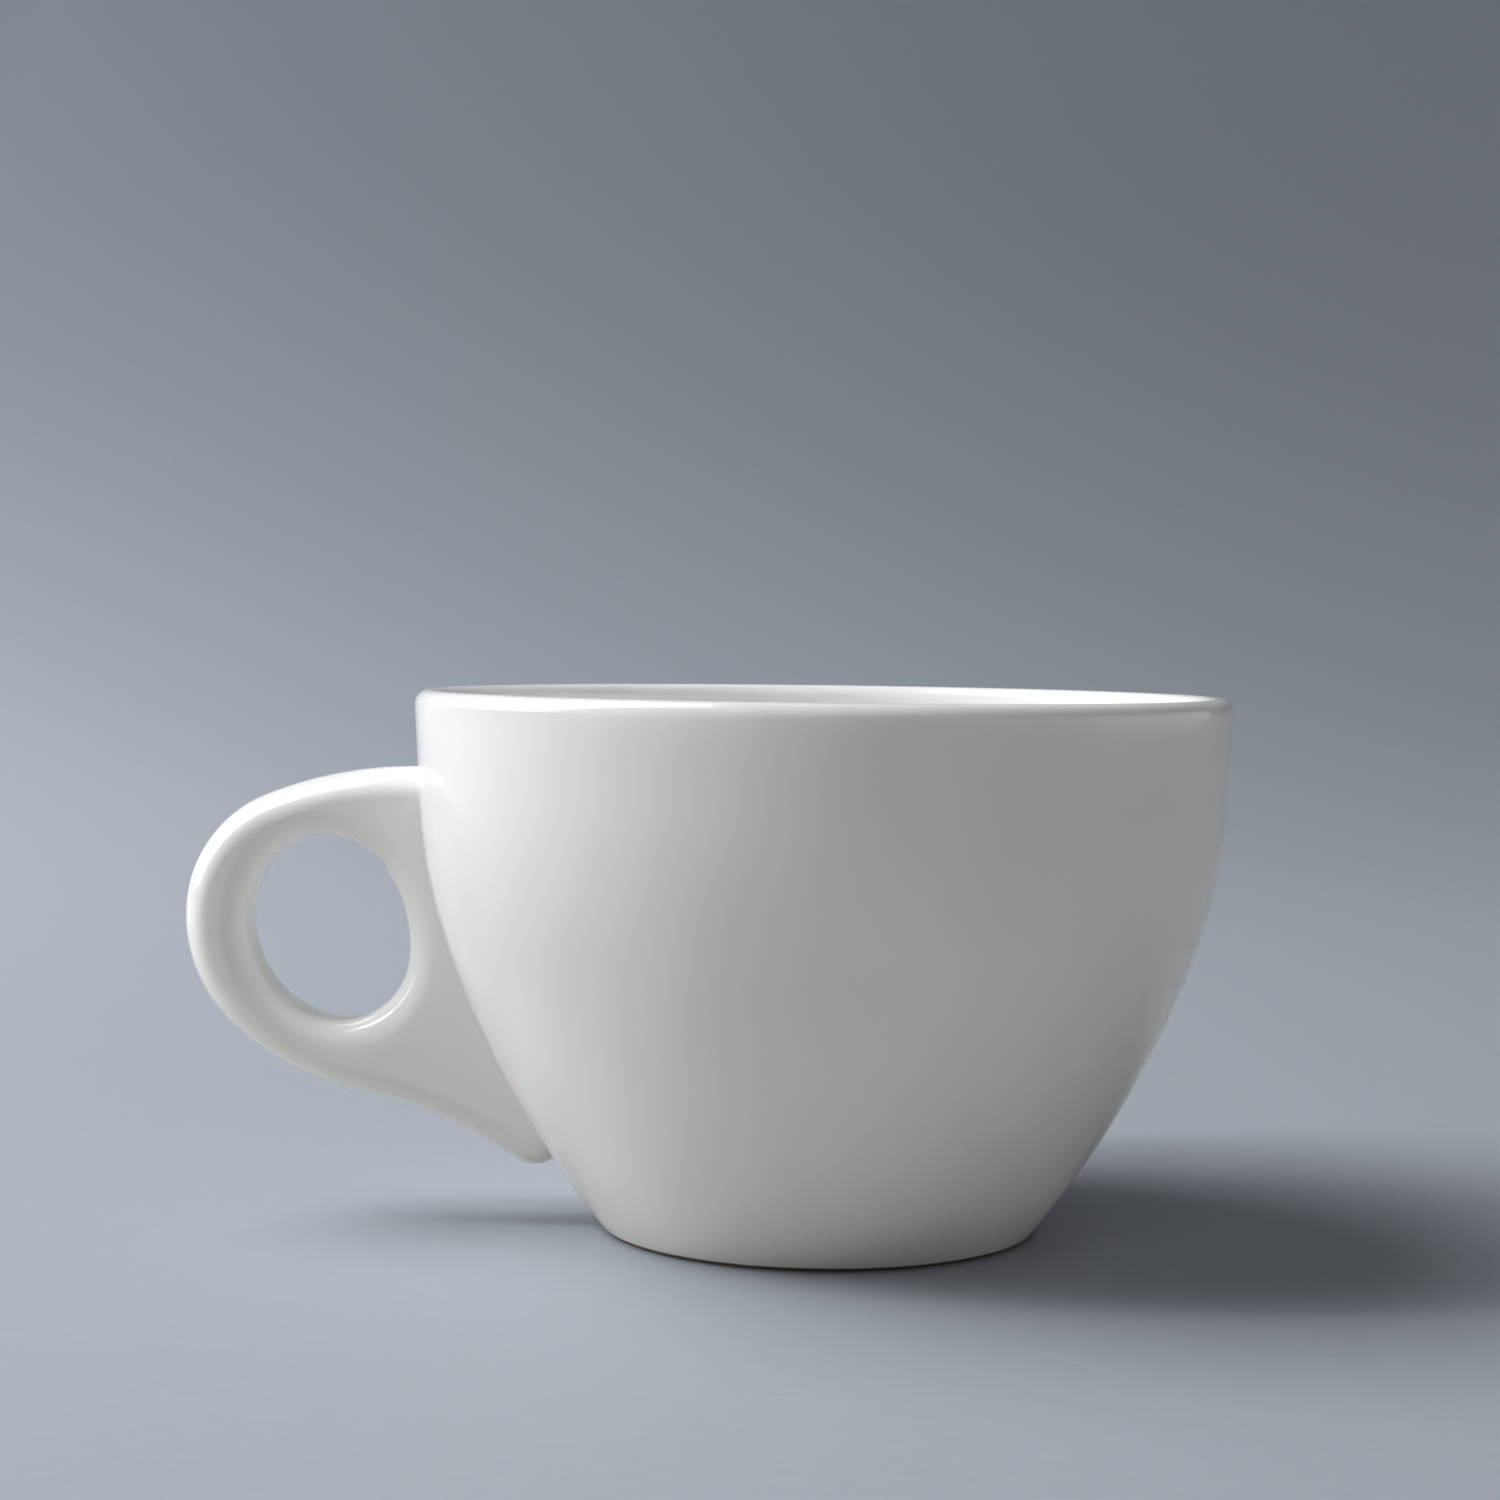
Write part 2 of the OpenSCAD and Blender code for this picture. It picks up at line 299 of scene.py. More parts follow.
def outline_stations():
    """Points and outward directions round the handle, closed by an upright line inside the bowl."""
    stations = []
    point, heading = HANDLE_START, HANDLE_HEADING
    for radius, degrees, steps in HANDLE_ARCS:
        side = math.copysign(radius * MM, degrees)
        centre = point - side * heading_out(heading)
        for step in range(steps):
            out = heading_out(heading + degrees * step / steps)
            stations.append(Station(centre + side * out, out))
        heading += degrees
        point = centre + side * heading_out(heading)
    stations.append(Station(point, heading_out(heading)))
    for step in range(1, ROOT_STEPS):
        height = point.y + (HANDLE_START.y - point.y) * step / ROOT_STEPS
        stations.append(Station(Vector((-FOOT_RADIUS, height)), Vector((1, 0))))
    return stations


outline = outline_stations()
reach = min(station.point.x for station in outline)
print("handle outline", len(outline), "stations, reaching", round(-reach / MM, 1), "mm from the axis")

# %% [markdown]
# The finger hole is an egg: two end circles with two wider arcs that touch them from outside. A ray from
# the middle of the hole to each station of the outline finds the point of the hole that belongs to it.

# %% The hole's arcs
HOLE_TOP = Vector((-56.3, 35.6)) * MM
HOLE_TOP_R = 8.4 * MM
HOLE_LOW_R = 8.0 * MM
HOLE_PITCH = 5.0 * MM
HOLE_LEAN = math.radians(18.7)
HOLE_OUT_R = 11.3 * MM
HOLE_IN_R = 16.7 * MM

hole_down = Vector((math.sin(HOLE_LEAN), -math.cos(HOLE_LEAN)))
hole_across = Vector((math.cos(HOLE_LEAN), math.sin(HOLE_LEAN)))
hole_low = HOLE_TOP + HOLE_PITCH * hole_down
hole_middle = (HOLE_TOP + hole_low) / 2


def side_centre(side_r, side):
    """Centre of a wide side of the hole, which touches both end circles from outside."""
    top_gap, low_gap = side_r - HOLE_TOP_R, side_r - HOLE_LOW_R
    down = (HOLE_PITCH ** 2 + top_gap ** 2 - low_gap ** 2) / (2 * HOLE_PITCH)
    return HOLE_TOP + down * hole_down + side * math.sqrt(top_gap ** 2 - down ** 2) * hole_across


HOLE_ARCS = (
    (side_centre(HOLE_OUT_R, 1), HOLE_OUT_R),
    (hole_low, HOLE_LOW_R),
    (side_centre(HOLE_IN_R, -1), HOLE_IN_R),
    (HOLE_TOP, HOLE_TOP_R),
)
print("finger hole of", len(HOLE_ARCS), "arcs")


# %% The hole's stations
def bearing_of(vector):
    return math.atan2(vector.y, vector.x)


hole_joints = [
    HOLE_ARCS[wide][0] + HOLE_ARCS[wide][1] * (HOLE_ARCS[end][0] - HOLE_ARCS[wide][0]).normalized()
    for wide, end in ((0, 3), (0, 1), (2, 1), (2, 3))
]
joint_bearings = [bearing_of(joint - hole_middle) for joint in hole_joints]


def hole_point(towards):
    """Where the ray from the middle of the hole towards a point leaves it, with the direction outward."""
    ray = (towards - hole_middle).normalized()
    spans = [(bearing_of(ray) - joint_bearing) % math.tau for joint_bearing in joint_bearings]
    centre, radius = HOLE_ARCS[spans.index(min(spans))]
    offset = centre - hole_middle
    along = ray.dot(offset)
    place = hole_middle + (along + math.sqrt(radius ** 2 - offset.length_squared + along ** 2)) * ray
    return Station(place, (place - centre) / radius)


hole = [hole_point(station.point) for station in outline]
hole_width = max(s.point.x for s in hole) - min(s.point.x for s in hole)
print("finger hole", round(hole_width / MM, 1), "mm wide")

# %% [markdown]
# Across the ring, the outside is rounded in one sweep from face to face, and the hole's two edges have
# their own smaller rounding, a few per cent wider towards the wall and the tail. The section is listed
# once, as how far each point lies in from the outline or out from the hole, and how far it lies from the
# middle plane.

# %% The handle's section
HANDLE_HALF = 5.2 * MM
OUTER_ROUNDING = 3.3 * MM
HOLE_ROUNDING = 3.2 * MM
HOLE_SOFTER = Vector((0.08, -0.05))
OUTER_STEPS = 28
FACE_STEPS = 8
HOLE_EDGE_STEPS = 8


def handle_section(rim, inner):
    """Points of one section, from the front face round the outside to the back and the hole."""
    points = []
    hole_rounding = HOLE_ROUNDING * (1 + inner.outward.dot(HOLE_SOFTER))
    for step in range(OUTER_STEPS + 1):
        angle = math.pi * (step / OUTER_STEPS - 0.5)
        place = rim.point - OUTER_ROUNDING * (1 - math.cos(angle)) * rim.outward
        points.append((place, HANDLE_HALF * math.sin(angle)))
    hole_edge = []
    for step in range(HOLE_EDGE_STEPS + 1):
        angle = math.pi / 2 * step / HOLE_EDGE_STEPS
        place = inner.point + hole_rounding * (1 - math.sin(angle)) * inner.outward
        hole_edge.append((place, HANDLE_HALF - hole_rounding * (1 - math.cos(angle))))
    face_outer, face_inner = points[-1][0], hole_edge[0][0]
    face = [face_outer.lerp(face_inner, step / FACE_STEPS) for step in range(1, FACE_STEPS)]
    points += [(place, HANDLE_HALF) for place in face]
    points += hole_edge
    points += [(place, -depth) for place, depth in reversed(hole_edge)]
    points += [(place, -HANDLE_HALF) for place in reversed(face)]
    return [Vector((place.x, depth, place.y)) for place, depth in points]


def pulled_torus(name, sections):
    """A torus with each of its sections moved to its place, its faces outward."""
    bpy.ops.object.select_all(action="DESELECT")
    bpy.ops.mesh.primitive_torus_add(major_segments=len(sections), minor_segments=len(sections[0]))
    piece = bpy.context.object
    piece.name = name
    piece.data.name = name
    places = [point for section in sections for point in section]
    for vertex, place in zip(piece.data.vertices, places):
        vertex.co = place
    bpy.ops.object.mode_set(mode="EDIT")
    bpy.ops.mesh.select_all(action="SELECT")
    bpy.ops.mesh.normals_make_consistent(inside=False)
    bpy.ops.object.mode_set(mode="OBJECT")
    return piece


handle = pulled_torus("handle_porcelain", [handle_section(*pair) for pair in zip(outline, hole)])
count(handle)

# %% [markdown]
# The root has to follow the round wall. A plain block with the bowl's own profile, a little smaller, is
# spun and taken away from the ring with a Boolean modifier, so the handle ends inside the thickness of
# the wall and its cut face never shows.

# %% A block shaped like the bowl
ROOT_SINK = 1.2 * MM
BLOCK_STEPS = 120

block = new_piece("root_cutter")
pen_down(0, -ROOT_SINK, 0)
straight_to(FOOT_RADIUS - ROOT_SINK * 2, -ROOT_SINK)
start = belly_centre + (BELLY_R - ROOT_SINK) * off_face(FOOT_LEAN)
straight_to(start.x, start.y)
pen["heading"] = math.radians(90 - FOOT_LEAN)
arc(BELLY_R - ROOT_SINK, FOOT_LEAN - BELLY_LEAN, BELLY_STEPS)
arc(SHOULDER_R - ROOT_SINK, BELLY_LEAN - LIP_LEAN, SHOULDER_STEPS)
straight(FLARE)
straight_to(0, pen["z"])
turn_on_wheel(BLOCK_STEPS)
count(block)

# %% Cut the root to the wall
CREASE = math.radians(40)

bpy.ops.object.select_all(action="DESELECT")
bpy.context.view_layer.objects.active = handle
handle.select_set(True)
cut = handle.modifiers.new("root", "BOOLEAN")
cut.operation = "DIFFERENCE"
cut.solver = "EXACT"
cut.object = block
bpy.ops.object.modifier_apply(modifier=cut.name)
bpy.data.objects.remove(block)
bpy.ops.object.shade_smooth_by_angle(angle=CREASE)
count(handle)

# %% [markdown]
# ## The slip
# Slip is clay thinned to a cream. It glues the handle's root to the wall, and the maker wipes what
# squeezes out into a fine fillet: fullest over the top, and close along the two faces and the tail. A
# bevel can't join two pieces, so the fillet is another pulled torus. Its sections run round the root, and
# each is a quarter circle that touches the wall and the handle, closed behind through the joint. To lie
# on the wall, the fillet first needs the wall's lean and radius at any height.

# %% The wall as a surface
belly_top = belly_centre.y - BELLY_R * along_wall(BELLY_LEAN).x
shoulder_top = shoulder_centre.y - SHOULDER_R * along_wall(LIP_LEAN).x
SETTLING_ROUNDS = 6


def wall_lean(z):
    """Lean of the bowl's outer face at a height, in radians."""
    if z < belly_top:
        return math.asin((belly_centre.y - z) / BELLY_R)
    if z < shoulder_top:
        return math.asin((shoulder_centre.y - z) / SHOULDER_R)
    return math.radians(LIP_LEAN)


def wall_radius(z):
    """Outer radius of the bowl at a height."""
    if z < belly_top:
        return belly_centre.x + math.sqrt(BELLY_R ** 2 - (z - belly_centre.y) ** 2)
    if z < shoulder_top:
        return shoulder_centre.x + math.sqrt(SHOULDER_R ** 2 - (z - shoulder_centre.y) ** 2)
    return flare_top.x - (flare_top.y - z) * math.tan(math.radians(LIP_LEAN))


def off_wall(y, z, off):
    """The point at that y and z that lies a distance off the wall, on the handle's side."""
    foot_z = z
    for _ in range(SETTLING_ROUNDS):
        foot_z = z + off * math.sin(wall_lean(foot_z))
    radius = wall_radius(foot_z) + off * math.cos(wall_lean(foot_z))
    return Vector((-math.sqrt(radius ** 2 - y ** 2), y, z))


print("wall turns at", round(belly_top / MM, 1), "and", round(shoulder_top / MM, 1), "mm")

# %% Path round the root
ROOT_TOP = 51.83 * MM
ROOT_LOW = 7.5 * MM
TOP_FILLET = 0.5 * MM
HIGH_FILLET = 0.18 * MM
LOW_FILLET = 0.25 * MM
TAIL_FILLET = 0.3 * MM
CAP_STEPS = 24
SIDE_STEPS = 36
Place = namedtuple("Place", "y z out_y out_z fillet")


def root_cap(start, centre_z, squeeze, end_fillet, side_fillet):
    """Half an ellipse round the root, over its top or under its tail."""
    places = []
    for step in range(CAP_STEPS):
        angle = start + math.pi * step / CAP_STEPS
        y = HANDLE_HALF * math.cos(angle)
        z = centre_z + OUTER_ROUNDING * squeeze * math.sin(angle)
        out = Vector((math.cos(angle) / HANDLE_HALF, math.sin(angle) / OUTER_ROUNDING)).normalized()
        fillet = end_fillet + (side_fillet - end_fillet) * math.cos(angle) ** 2
        places.append(Place(y, z, out.x, out.y, fillet))
    return places


def root_side(facing, from_z, to_z, from_fillet, to_fillet):
    """A straight side of the root, on its front face (-1) or its back face (1)."""
    places = []
    for step in range(SIDE_STEPS):
        share = step / SIDE_STEPS
        z = from_z + (to_z - from_z) * share
        fillet = from_fillet + (to_fillet - from_fillet) * share
        places.append(Place(facing * HANDLE_HALF, z, facing, 0, fillet))
    return places


tail_squeeze = math.cos(wall_lean(ROOT_LOW))
side_top = ROOT_TOP - OUTER_ROUNDING
side_low = ROOT_LOW + OUTER_ROUNDING * tail_squeeze
root_path = root_cap(0, side_top, 1, TOP_FILLET, HIGH_FILLET)
root_path += root_side(-1, side_top, side_low, HIGH_FILLET, LOW_FILLET)
root_path += root_cap(math.pi, side_low, tail_squeeze, TAIL_FILLET, LOW_FILLET)
root_path += root_side(1, side_low, side_top, LOW_FILLET, HIGH_FILLET)
print("root path", len(root_path), "places")

# %% Sections of the slip
FILLET_STEPS = 12
SKIRT = 0.4 * MM
SUNK = 0.03 * MM
JOINT = 0.5 * MM


def slip_section(place):
    """One section of the slip: distances off the wall and away from the handle, as points."""
    radius = place.fillet
    profile = [(-SUNK, radius + SKIRT)]
    for step in range(FILLET_STEPS + 1):
        angle = math.pi / 2 * step / FILLET_STEPS
        profile.append((radius * (1 - math.cos(angle)), radius * (1 - math.sin(angle))))
    profile += [(radius + SKIRT, -SUNK), (radius / 2, -JOINT), (-JOINT, -JOINT), (-JOINT, radius / 2)]
    upright = math.cos(wall_lean(place.z))
    return [
        off_wall(place.y + away * place.out_y, place.z + away * place.out_z * upright, off)
        for off, away in profile
    ]


slip = pulled_torus("slip_fillet", [slip_section(place) for place in root_path])
bpy.ops.object.shade_smooth_by_angle(angle=CREASE)
count(slip)

# %% [markdown]
# Each piece rides on the cup's one body and stands for the solid of the same name.

# %% Hand the pieces to the frame
for piece, node, slot in (
    (bowl, "bowl", "glazed_bowl"),
    (handle, "handle", "glazed_handle"),
    (slip, "handle_slip", "glazed_slip"),
):
    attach(piece, "root")
    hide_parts(node)
    print(piece.name, "stands for", node)

# %% [markdown]
# ## The glaze
# The cup is dipped whole in a clear white glaze and fired, so the same skin covers all three pieces. It
# isn't quite even: it pools a little thicker in places, its surface is faintly wavy, it keeps a few
# pinholes and grey specks, and handling leaves it less glossy here and there. An image could hold all
# that, but noise on Object coordinates runs on from piece to piece without a seam. One node group makes
# the marks, and each material places it with its own values.

# %% Helpers for nodes
def add_node(tree, kind, label="", **settings):
    node = tree.nodes.new(kind)
    node.label = label
    for name, value in settings.items():
        setattr(node, name, value)
    return node


def set_inputs(node, **values):
    for name, value in values.items():
        node.inputs[name.replace("_", " ")].default_value = value
    return node


def feed(tree, socket, value):
    """Gives a socket a constant, or links another node's output to it."""
    if isinstance(value, (int, float, tuple)):
        socket.default_value = value
    else:
        tree.links.new(value, socket)


def noise(tree, label, place, scale, detail):
    node = add_node(tree, "ShaderNodeTexNoise", label)
    set_inputs(node, Scale=scale, Detail=detail)
    tree.links.new(place, node.inputs["Vector"])
    return node.outputs["Fac"]


def remap(tree, label, value, span, result=(0, 1), blend="SMOOTHSTEP"):
    node = add_node(tree, "ShaderNodeMapRange", label, interpolation_type=blend)
    set_inputs(node, From_Min=span[0], From_Max=span[1], To_Min=result[0], To_Max=result[1])
    tree.links.new(value, node.inputs["Value"])
    return node.outputs["Result"]


def calculate(tree, label, operation, *values):
    node = add_node(tree, "ShaderNodeMath", label, operation=operation)
    for socket, value in zip(node.inputs, values):
        feed(tree, socket, value)
    return node.outputs["Value"]


def mix_colours(tree, label, amount, first, second):
    node = add_node(tree, "ShaderNodeMix", label, data_type="RGBA")
    for number, value in ((0, amount), (6, first), (7, second)):
        feed(tree, node.inputs[number], value)
    return node.outputs[2]


# %% The glaze group's sockets
glaze = bpy.data.node_groups.new("glaze_marks", "ShaderNodeTree")
for name, kind, start in (
    ("Thin", "NodeSocketColor", (0.85, 0.85, 0.848, 1)),
    ("Pooled", "NodeSocketColor", (0.885, 0.885, 0.883, 1)),
    ("Speck", "NodeSocketColor", (0.45, 0.43, 0.40, 1)),
    ("Specks", "NodeSocketFloat", 0.5),
    ("Gloss", "NodeSocketFloat", 0.09),
    ("Smudge", "NodeSocketFloat", 0.07),
):
    socket = glaze.interface.new_socket(name, in_out="INPUT", socket_type=kind)
    socket.default_value = start
for name, kind in (
    ("Colour", "NodeSocketColor"),
    ("Roughness", "NodeSocketFloat"),
    ("Height", "NodeSocketFloat"),
):
    glaze.interface.new_socket(name, in_out="OUTPUT", socket_type=kind)
print("glaze group", len(glaze.interface.items_tree), "sockets")

# %% The glaze group's marks
POOL_SCALE, POOL_SPAN = 34, (0.35, 0.65)
SPECK_SCALE, SPECK_SPAN, SPECK_RARE = 150, (0.02, 0.05), 0.93
SMUDGE_SCALE, SMUDGE_SPAN = 75, (0.5, 0.75)
WAVE_SCALE = 210

given = add_node(glaze, "NodeGroupInput").outputs
place = add_node(glaze, "ShaderNodeTexCoord").outputs["Object"]
pooled = remap(glaze, "pooled", noise(glaze, "pooling", place, POOL_SCALE, 2), POOL_SPAN)
skin = mix_colours(glaze, "glaze colour", pooled, given["Thin"], given["Pooled"])

cells = add_node(glaze, "ShaderNodeTexVoronoi", "specks")
set_inputs(cells, Scale=SPECK_SCALE)
glaze.links.new(place, cells.inputs["Vector"])
speck_dot = remap(glaze, "speck dot", cells.outputs["Distance"], SPECK_SPAN, (1, 0))
chance = add_node(glaze, "ShaderNodeSeparateColor", "speck chance")
glaze.links.new(cells.outputs["Color"], chance.inputs["Color"])
rare = calculate(glaze, "few specks", "GREATER_THAN", chance.outputs["Red"], SPECK_RARE)
speck = calculate(glaze, "speck", "MULTIPLY", speck_dot, rare)
speck_shade = calculate(glaze, "speck shade", "MULTIPLY", speck, given["Specks"])
colour = mix_colours(glaze, "specked glaze", speck_shade, skin, given["Speck"])

smudges = remap(glaze, "smudged", noise(glaze, "smudges", place, SMUDGE_SCALE, 4), SMUDGE_SPAN)
roughness = calculate(
    glaze, "gloss and smudges", "MULTIPLY_ADD", smudges, given["Smudge"], given["Gloss"]
)
waves = noise(glaze, "waves", place, WAVE_SCALE, 1)
height = calculate(glaze, "waves and pinholes", "SUBTRACT", waves, speck)
result = add_node(glaze, "NodeGroupOutput")
for name, value in (("Colour", colour), ("Roughness", roughness), ("Height", height)):
    glaze.links.new(value, result.inputs[name])
print("glaze group", len(glaze.nodes), "nodes")

# %% [markdown]
# The three materials differ a little, as the pieces do. The bowl's glaze is the evenest. The handle is
# held, so it carries more smudges. Its glaze is written whiter than the bowl's as painted light, because
# the same glaze renders its face too dark here. Over the slip the glaze pools in the crease.

# %% Glazed materials
GLAZE_IOR = 1.5
WAVE_STRENGTH = 0.06
WAVE_HEIGHT = 0.1 * MM


def glazed(name, **marks):
    material = bpy.data.materials.new(name)
    material.use_nodes = True
    tree = material.node_tree
    shader = tree.nodes["Principled BSDF"]
    set_inputs(shader, IOR=GLAZE_IOR)
    skin = add_node(tree, "ShaderNodeGroup", "glaze", node_tree=glaze)
    set_inputs(skin, **marks)
    bump = add_node(tree, "ShaderNodeBump", "glaze waves")
    set_inputs(bump, Strength=WAVE_STRENGTH, Distance=WAVE_HEIGHT)
    tree.links.new(skin.outputs["Height"], bump.inputs["Height"])
    tree.links.new(bump.outputs["Normal"], shader.inputs["Normal"])
    tree.links.new(skin.outputs["Colour"], shader.inputs["Base Color"])
    tree.links.new(skin.outputs["Roughness"], shader.inputs["Roughness"])
    return material


bowl_glaze = glazed("bowl_glaze", Gloss=0.07, Smudge=0.05)
# Painted light: the handle's Thin and Pooled colours are whiter than the bowl's to light its face.
handle_glaze = glazed(
    "handle_glaze", Gloss=0.05, Smudge=0.06,
    Thin=(0.895, 0.895, 0.89, 1), Pooled=(0.925, 0.925, 0.92, 1),
)
slip_glaze = glazed("slip_glaze", Gloss=0.06, Smudge=0.05, Thin=(0.86, 0.86, 0.852, 1))
for piece, material in ((bowl, bowl_glaze), (handle, handle_glaze), (slip, slip_glaze)):
    piece.data.materials.clear()
    piece.data.materials.append(material)
    print(piece.name, "has", material.name)

# %% [markdown]
# The inside is written whiter than the outside's glaze: painted light, because the same glaze renders it
# too dark there. No height or distance alone tells inside from outside, so the bowl's vertices keep how
# far through the wall they lie, and the material reads that. Porcelain this thin also lets a little
# light through, which softens the lip and lights the inside, so the bowl alone is given some depth.

# %% Thin wall and painted light inside
INSIDE_PAINTED_LIGHT = (0.955, 0.955, 0.947, 1)
INSIDE_SPAN = (0.5, 1)
INSIDE_LOW = FLOOR - 1 * MM
SEEP_DEPTH = 2.5 * MM
SEEP_SHARE = 0.6

through = bowl.data.attributes.new("through", "FLOAT", "POINT")
for vertex, mark in zip(bowl.data.vertices, through.data):
    if vertex.co.z > INSIDE_LOW:
        mark.value = (wall_radius(vertex.co.z) - vertex.co.xy.length) / WALL

tree = bowl_glaze.node_tree
shader = tree.nodes["Principled BSDF"]
outside = shader.inputs["Base Color"].links[0].from_socket
depth = add_node(tree, "ShaderNodeAttribute", "through the wall", attribute_name="through")
inside = remap(tree, "inside", depth.outputs["Fac"], INSIDE_SPAN)
# Painted light: the inside of the bowl takes a whiter colour than the outside's glaze.
bowl_colour_and_inside_light = mix_colours(tree, "painted inside light", inside, outside, INSIDE_PAINTED_LIGHT)
tree.links.new(bowl_colour_and_inside_light, shader.inputs["Base Color"])
set_inputs(
    shader, Subsurface_Weight=SEEP_SHARE, Subsurface_Radius=(1, 1, 1), Subsurface_Scale=SEEP_DEPTH
)
print("inside colour", INSIDE_PAINTED_LIGHT[:3])

# %% [markdown]
# The foot ring stands on the kiln shelf, so its glaze is wiped off before firing. What shows is bare
# porcelain: matte, a little creamier, and greyed where it has rubbed on saucers. The thin dark line at the
# foot is painted shade: a near-black band on the broken edge below the glaze line, where the foot meets
# the table. Height alone finds all this, because nothing else on the bowl lies so low.

# %% Bare foot ring and painted shade line
BARE_TOP = 0.52 * MM
BARE_FADE = 0.7
BARE_COLOUR = (0.66, 0.64, 0.59, 1)
BARE_ROUGHNESS = 0.75
LINE_SCALE, LINE_RISE = 420, 0.12 * MM
RUBBED_COLOUR = (0.46, 0.455, 0.44, 1)
RUBBED_SCALE, RUBBED_SPAN = 160, (0.48, 0.66)
EDGE_LOW = 0.02 * MM
# The near-black colour below is painted shade along the foot's edge.
SHADE_LINE_COLOUR = (0.10, 0.08, 0.065, 1)

place = add_node(tree, "ShaderNodeTexCoord").outputs["Object"]
spot = add_node(tree, "ShaderNodeSeparateXYZ", "height above the table")
tree.links.new(place, spot.inputs["Vector"])
line_noise = noise(tree, "glaze line", place, LINE_SCALE, 2)
wobble = calculate(tree, "uneven glaze line", "MULTIPLY", line_noise, LINE_RISE)
level = calculate(tree, "level", "SUBTRACT", spot.outputs["Z"], wobble)
bare = remap(tree, "bare", level, (BARE_FADE * BARE_TOP, BARE_TOP), (1, 0))
rubbed = remap(tree, "rubbed", noise(tree, "rubbing", place, RUBBED_SCALE, 5), RUBBED_SPAN)
biscuit = mix_colours(tree, "biscuit", rubbed, BARE_COLOUR, RUBBED_COLOUR)
# Painted shade: a near-black band on the foot's edge, between the ground face and the glaze line.
edge = remap(tree, "edge of the ring", level, (EDGE_LOW, 2 * EDGE_LOW))
biscuit = mix_colours(tree, "painted shade line", edge, biscuit, SHADE_LINE_COLOUR)
foot_colour = mix_colours(tree, "foot colour", bare, bowl_colour_and_inside_light, biscuit)
tree.links.new(foot_colour, shader.inputs["Base Color"])

glazed_roughness = shader.inputs["Roughness"].links[0].from_socket
matte = remap(tree, "foot roughness", bare, (0, 1), (0, BARE_ROUGHNESS))
roughest = calculate(tree, "roughest", "MAXIMUM", matte, glazed_roughness)
tree.links.new(roughest, shader.inputs["Roughness"])
print("bare foot ring below", round(BARE_TOP / MM, 2), "mm")

# %% [markdown]
# ## Stage and light
# The cup stands on a blue-grey sheet that sweeps up behind it, so no line shows where the floor ends. The
# sheet is a plane with its back edge pulled up and the bend bevelled round.

# %% Sweep
SWEEP_BACK = 2.4
SWEEP_HEIGHT = 3.0
SWEEP_BEND = 1.9
SWEEP_SIZE = 3.8
SWEEP_STEPS = 24
NEAR = 0.01


def pick_edges(piece, wanted):
    """Selects the edges whose two ends are both wanted, in edit mode."""
    bpy.ops.mesh.select_mode(type="EDGE")
    bpy.ops.mesh.select_all(action="DESELECT")
    bpy.ops.object.mode_set(mode="OBJECT")
    for edge in piece.data.edges:
        edge.select = all(wanted(piece.data.vertices[index].co) for index in edge.vertices)
    bpy.ops.object.mode_set(mode="EDIT")


bpy.ops.object.select_all(action="DESELECT")
bpy.ops.mesh.primitive_plane_add(size=SWEEP_SIZE, location=(0, SWEEP_BACK - SWEEP_SIZE / 2, 0))
sweep = bpy.context.object
sweep.name = "sweep"
bpy.ops.object.transform_apply(location=True)
bpy.ops.object.mode_set(mode="EDIT")
pick_edges(sweep, lambda end: end.y > SWEEP_BACK - NEAR)
bpy.ops.mesh.extrude_region_move(TRANSFORM_OT_translate={"value": (0, 0, SWEEP_HEIGHT)})
pick_edges(sweep, lambda end: end.y > SWEEP_BACK - NEAR and end.z < NEAR)
bpy.ops.mesh.bevel(offset=SWEEP_BEND, segments=SWEEP_STEPS, affect="EDGES")
bpy.ops.object.mode_set(mode="OBJECT")
bpy.ops.object.shade_smooth()
print("sweep", len(sweep.data.polygons), "faces")

# %% [markdown]
# Higher up, the sheet of the photograph stays lighter than the lamps make it here, most of all on the
# left. That glow is only for the picture, so Light Path shows it to the camera and to reflections, and it
# lights nothing. Its strength is a curve across the picture, and a second curve is added with height. Each
# is listed as its level on the right, its slant towards the left, and its bend.

# %% Glow of the sheet
GLOW_COLOUR = (0.88, 1.0, 1.17, 1)
GLOW_SIDES = (-0.6, 0.6)
GLOW_RISE = (0, 0.53)
GLOW_AWAY = (0, 0.7)
GLOW_LOW = (0.053, -0.20, 0.333)
GLOW_MORE = (0.018, 0.169, -0.188)

sheet = bpy.data.materials.new("sheet")
sheet.use_nodes = True
tree = sheet.node_tree
place = add_node(tree, "ShaderNodeTexCoord").outputs["Object"]
spot = add_node(tree, "ShaderNodeSeparateXYZ", "place on the sheet")
tree.links.new(place, spot.inputs["Vector"])
leftness = remap(tree, "left side", spot.outputs["X"], GLOW_SIDES, (1, 0), "LINEAR")
rise = remap(tree, "height", spot.outputs["Z"], GLOW_RISE, blend="LINEAR")
curves = []
for level, slant, bend in (GLOW_LOW, GLOW_MORE):
    slope = calculate(tree, "slope", "MULTIPLY_ADD", leftness, bend, slant)
    curves.append(calculate(tree, "curve across", "MULTIPLY_ADD", leftness, slope, level))
glow = calculate(tree, "glow", "MULTIPLY_ADD", rise, curves[1], curves[0])
away = remap(tree, "behind the cup", spot.outputs["Y"], GLOW_AWAY)
glow = calculate(tree, "glow behind the cup", "MULTIPLY", glow, away)
print("glow up to", GLOW_RISE[1], "m")

# %% [markdown]
# The sheet is a little worn, with fine grain across it and a few thin scratches. It looks blue-grey, but
# the light that it throws back on the cup is neutral, since the cup in the photograph takes no tint.

